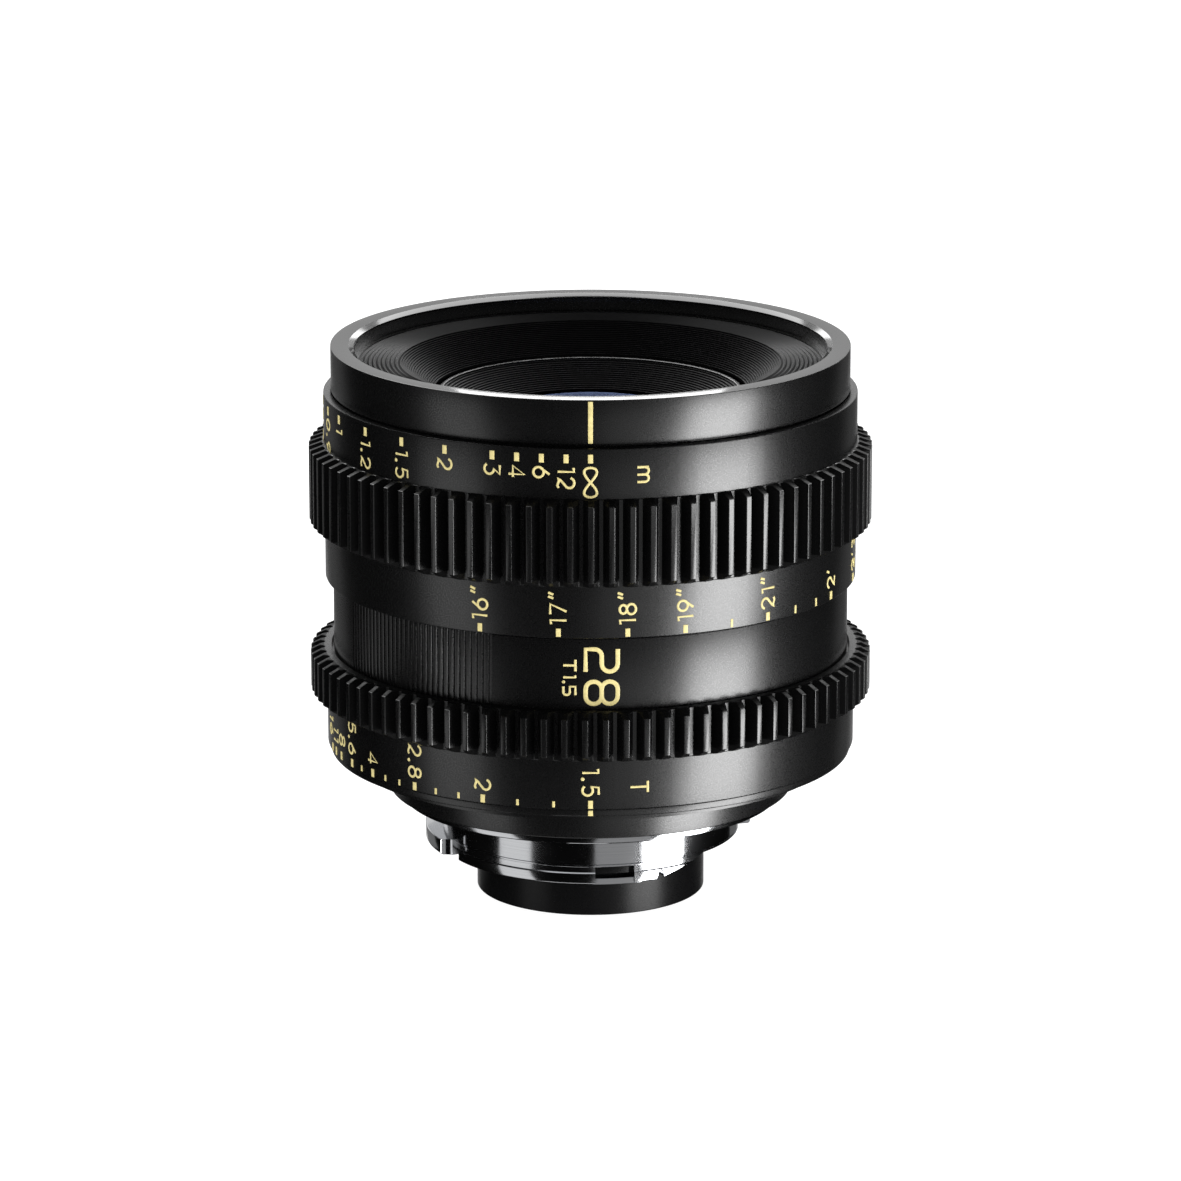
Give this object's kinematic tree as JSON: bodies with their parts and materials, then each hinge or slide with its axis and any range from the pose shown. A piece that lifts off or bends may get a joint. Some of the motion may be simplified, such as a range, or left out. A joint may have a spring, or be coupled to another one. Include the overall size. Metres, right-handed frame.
{
  "type": "cinema prime lens",
  "caption": "Short black cinema prime lens with toothed focus and aperture rings, engraved distance and stop scales, ribbed front baffle and a chromed bayonet with a rear guard tube.",
  "frame": {"origin": "on the optical axis, at the seat of the bayonet flange", "axes": "+Z along the optical axis to the front glass; the index marks face -Y; +X is to the right as the scales are read"},
  "size_m": [0.072, 0.072, 0.0717],
  "materials": {
    "black_anodised": "bead-blasted black anodising",
    "black_baffle": "matt black anodising, ribbed",
    "black_satin": "satin black anodising",
    "chrome": "bright chrome on brass",
    "steel": "bright steel",
    "blade_steel": "blackened spring steel",
    "brass": "turned brass",
    "washer": "plain slip washer",
    "glass": "coated optical glass"
  },
  "bodies": {
    "barrel": {"front_ring": "black_anodised", "front_baffle": "black_baffle", "main_tube": "black_satin", "fixed_barrel": "black_anodised", "barrel_keys": "steel", "focus_thrust_washer": "washer", "aperture_index_ring": "black_anodised", "rear_cover": "black_anodised", "cover_screws": "steel", "mount_shim": "brass", "bayonet_mount": "chrome", "mount_screws": "steel", "rear_tube": "black_satin"},
    "focus": {"focus_ring": "black_anodised", "focus_cam_sleeve": "brass", "focus_keys": "steel"},
    "carriage": {"lens_barrel": "black_satin", "focus_follower": "steel", "guide_rollers": "steel", "front_cell": "black_satin", "front_retainer": "black_baffle", "front_element": "glass", "spacer_1": "black_baffle", "element_2": "glass", "spacer_2": "black_baffle", "element_3": "glass", "spacer_3": "black_baffle", "front_doublet_crown": "glass", "front_doublet_flint": "glass", "iris_base": "black_satin", "rear_cell": "black_satin", "rear_cell_screws": "steel", "rear_doublet_crown": "glass", "rear_doublet_flint": "glass", "spacer_4": "black_baffle", "element_6": "glass", "spacer_5": "black_baffle", "rear_element": "glass", "rear_retainer": "black_baffle"},
    "aperture": {"aperture_ring": "black_anodised", "aperture_pin": "steel"},
    "iris_drive": {"iris_drive_ring": "brass"},
    "blade_01": {"iris_blade_01": "blade_steel"},
    "blade_02": {"iris_blade_02": "blade_steel"},
    "blade_03": {"iris_blade_03": "blade_steel"},
    "blade_04": {"iris_blade_04": "blade_steel"},
    "blade_05": {"iris_blade_05": "blade_steel"},
    "blade_06": {"iris_blade_06": "blade_steel"},
    "blade_07": {"iris_blade_07": "blade_steel"},
    "blade_08": {"iris_blade_08": "blade_steel"},
    "blade_09": {"iris_blade_09": "blade_steel"},
    "blade_10": {"iris_blade_10": "blade_steel"}
  },
  "joints": [
    {"name": "focus_turn", "type": "hinge", "parent": "barrel", "child": "focus", "pos_m": [0, 0, 0.0413], "axis": [0, 0, 1], "range_deg": [0, 210]},
    {"name": "carriage_slide", "type": "slide", "parent": "barrel", "child": "carriage", "axis": [0, 0, 1], "range_m": [0, 0.00233]},
    {"name": "aperture_turn", "type": "hinge", "parent": "barrel", "child": "aperture", "pos_m": [0, 0, 0.0137], "axis": [0, 0, 1], "range_deg": [0, 82]},
    {"name": "iris_drive_turn", "type": "hinge", "parent": "carriage", "child": "iris_drive", "pos_m": [0, 0, 0.016], "axis": [0, 0, 1], "range_deg": [0, 82]},
    {"name": "blade_01_swing", "type": "hinge", "parent": "carriage", "child": "blade_01", "pos_m": [0.0122, 0, 0.0206], "axis": [0, 0, 1], "range_deg": [0, 41]},
    {"name": "blade_02_swing", "type": "hinge", "parent": "carriage", "child": "blade_02", "pos_m": [0.00987, 0.00717, 0.0206], "axis": [0, 0, 1], "range_deg": [0, 41]},
    {"name": "blade_03_swing", "type": "hinge", "parent": "carriage", "child": "blade_03", "pos_m": [0.00377, 0.0116, 0.0206], "axis": [0, 0, 1], "range_deg": [0, 41]},
    {"name": "blade_04_swing", "type": "hinge", "parent": "carriage", "child": "blade_04", "pos_m": [-0.00377, 0.0116, 0.0206], "axis": [0, 0, 1], "range_deg": [0, 41]},
    {"name": "blade_05_swing", "type": "hinge", "parent": "carriage", "child": "blade_05", "pos_m": [-0.00987, 0.00717, 0.0206], "axis": [0, 0, 1], "range_deg": [0, 41]},
    {"name": "blade_06_swing", "type": "hinge", "parent": "carriage", "child": "blade_06", "pos_m": [-0.0122, 0, 0.0206], "axis": [0, 0, 1], "range_deg": [0, 41]},
    {"name": "blade_07_swing", "type": "hinge", "parent": "carriage", "child": "blade_07", "pos_m": [-0.00987, -0.00717, 0.0206], "axis": [0, 0, 1], "range_deg": [0, 41]},
    {"name": "blade_08_swing", "type": "hinge", "parent": "carriage", "child": "blade_08", "pos_m": [-0.00377, -0.0116, 0.0206], "axis": [0, 0, 1], "range_deg": [0, 41]},
    {"name": "blade_09_swing", "type": "hinge", "parent": "carriage", "child": "blade_09", "pos_m": [0.00377, -0.0116, 0.0206], "axis": [0, 0, 1], "range_deg": [0, 41]},
    {"name": "blade_10_swing", "type": "hinge", "parent": "carriage", "child": "blade_10", "pos_m": [0.00987, -0.00717, 0.0206], "axis": [0, 0, 1], "range_deg": [0, 41]}
  ],
  "couplings": [
    {"joint": "carriage_slide", "follows": "focus_turn", "m_per_rad": 0.00063662},
    {"joint": "iris_drive_turn", "follows": "aperture_turn", "ratio": 1},
    {"joint": "blade_01_swing", "follows": "aperture_turn", "ratio": 0.5},
    {"joint": "blade_02_swing", "follows": "aperture_turn", "ratio": 0.5},
    {"joint": "blade_03_swing", "follows": "aperture_turn", "ratio": 0.5},
    {"joint": "blade_04_swing", "follows": "aperture_turn", "ratio": 0.5},
    {"joint": "blade_05_swing", "follows": "aperture_turn", "ratio": 0.5},
    {"joint": "blade_06_swing", "follows": "aperture_turn", "ratio": 0.5},
    {"joint": "blade_07_swing", "follows": "aperture_turn", "ratio": 0.5},
    {"joint": "blade_08_swing", "follows": "aperture_turn", "ratio": 0.5},
    {"joint": "blade_09_swing", "follows": "aperture_turn", "ratio": 0.5},
    {"joint": "blade_10_swing", "follows": "aperture_turn", "ratio": 0.5}
  ]
}
